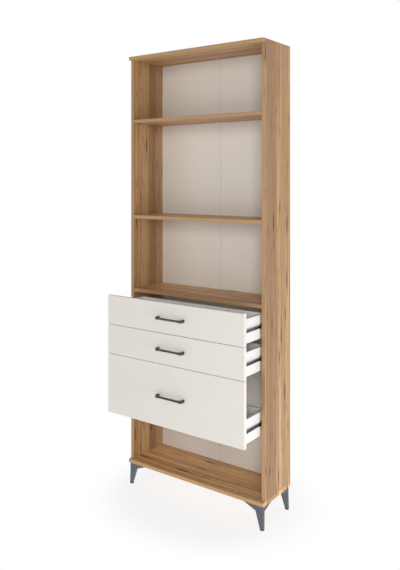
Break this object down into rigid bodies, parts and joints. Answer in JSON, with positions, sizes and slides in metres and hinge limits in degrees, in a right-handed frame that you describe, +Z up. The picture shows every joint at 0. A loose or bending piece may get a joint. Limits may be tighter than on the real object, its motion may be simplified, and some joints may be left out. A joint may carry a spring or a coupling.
{
  "type": "bookcase with bottom drawers",
  "caption": "Tall shallow bookcase in wood-grain board with open shelves, drawers on ball slides below them and an open bay at the bottom, on corner legs.",
  "frame": {"origin": "on the floor, under the centre of the bottom board", "axes": "+Z up, +X to the right seen from the front, the front faces -Y; the drawers open towards -Y"},
  "size_m": [0.7, 0.4311, 2.01],
  "materials": {
    "oak_board": "wood-grain melamine, satin",
    "back_panel": "cream lacquered hardboard, matte",
    "joint_strip": "cream plastic, matte",
    "leg": "dark grey, satin",
    "glide": "black, matte",
    "slide": "zinc-plated steel",
    "screw": "zinc-plated steel",
    "dowel": "fluted beech, raw",
    "cam": "die-cast zinc",
    "cream_front": "cream melamine, satin",
    "box_board": "white melamine, satin",
    "box_bottom": "white lacquered hardboard",
    "handle": "matte black enamel"
  },
  "bodies": {
    "carcass": {"top_board": "oak_board", "bottom_board": "oak_board", "left_side_panel": "oak_board", "right_side_panel": "oak_board", "upper_shelf": "oak_board", "middle_shelf": "oak_board", "drawer_shelf": "oak_board", "back_panel_left": "back_panel", "back_panel_right": "back_panel", "back_joint_strip": "joint_strip", "front_left_leg": "leg", "front_right_leg": "leg", "rear_left_leg": "leg", "rear_right_leg": "leg", "leg_screws": "screw", "foot_glides": "glide", "left_cabinet_rails": "slide", "right_cabinet_rails": "slide", "cabinet_rail_screws": "screw", "carcass_screws": "screw", "carcass_dowels": "dowel", "shelf_pins": "screw", "shelf_cam_fittings": "cam", "back_nails": "screw"},
    "upper_drawer": {"upper_drawer_front": "cream_front", "upper_drawer_left_side": "box_board", "upper_drawer_right_side": "box_board", "upper_drawer_rear": "box_board", "upper_drawer_bottom": "box_bottom", "upper_drawer_handle": "handle", "upper_drawer_handle_screws": "screw", "upper_drawer_rails": "slide", "upper_drawer_rail_screws": "screw", "upper_drawer_rear_screws": "screw", "upper_drawer_cam_fittings": "cam"},
    "upper_drawer_cages": {"upper_drawer_ball_cages": "slide"},
    "middle_drawer": {"middle_drawer_front": "cream_front", "middle_drawer_left_side": "box_board", "middle_drawer_right_side": "box_board", "middle_drawer_rear": "box_board", "middle_drawer_bottom": "box_bottom", "middle_drawer_handle": "handle", "middle_drawer_handle_screws": "screw", "middle_drawer_rails": "slide", "middle_drawer_rail_screws": "screw", "middle_drawer_rear_screws": "screw", "middle_drawer_cam_fittings": "cam"},
    "middle_drawer_cages": {"middle_drawer_ball_cages": "slide"},
    "lower_drawer": {"lower_drawer_front": "cream_front", "lower_drawer_left_side": "box_board", "lower_drawer_right_side": "box_board", "lower_drawer_rear": "box_board", "lower_drawer_bottom": "box_bottom", "lower_drawer_handle": "handle", "lower_drawer_handle_screws": "screw", "lower_drawer_rails": "slide", "lower_drawer_rail_screws": "screw", "lower_drawer_rear_screws": "screw", "lower_drawer_cam_fittings": "cam"},
    "lower_drawer_cages": {"lower_drawer_ball_cages": "slide"}
  },
  "joints": [
    {"name": "upper_drawer_slide", "type": "slide", "parent": "carcass", "child": "upper_drawer", "axis": [0, -1, 0], "range_m": [-0.152, 0]},
    {"name": "middle_drawer_slide", "type": "slide", "parent": "carcass", "child": "middle_drawer", "axis": [0, -1, 0], "range_m": [-0.152, 0]},
    {"name": "lower_drawer_slide", "type": "slide", "parent": "carcass", "child": "lower_drawer", "axis": [0, -1, 0], "range_m": [-0.152, 0]},
    {"name": "upper_drawer_cage_roll", "type": "slide", "parent": "carcass", "child": "upper_drawer_cages", "axis": [0, -1, 0], "range_m": [-0.076, 0]},
    {"name": "middle_drawer_cage_roll", "type": "slide", "parent": "carcass", "child": "middle_drawer_cages", "axis": [0, -1, 0], "range_m": [-0.076, 0]},
    {"name": "lower_drawer_cage_roll", "type": "slide", "parent": "carcass", "child": "lower_drawer_cages", "axis": [0, -1, 0], "range_m": [-0.076, 0]}
  ],
  "couplings": [
    {"joint": "upper_drawer_cage_roll", "follows": "upper_drawer_slide", "ratio": 0.5},
    {"joint": "middle_drawer_cage_roll", "follows": "middle_drawer_slide", "ratio": 0.5},
    {"joint": "lower_drawer_cage_roll", "follows": "lower_drawer_slide", "ratio": 0.5}
  ]
}
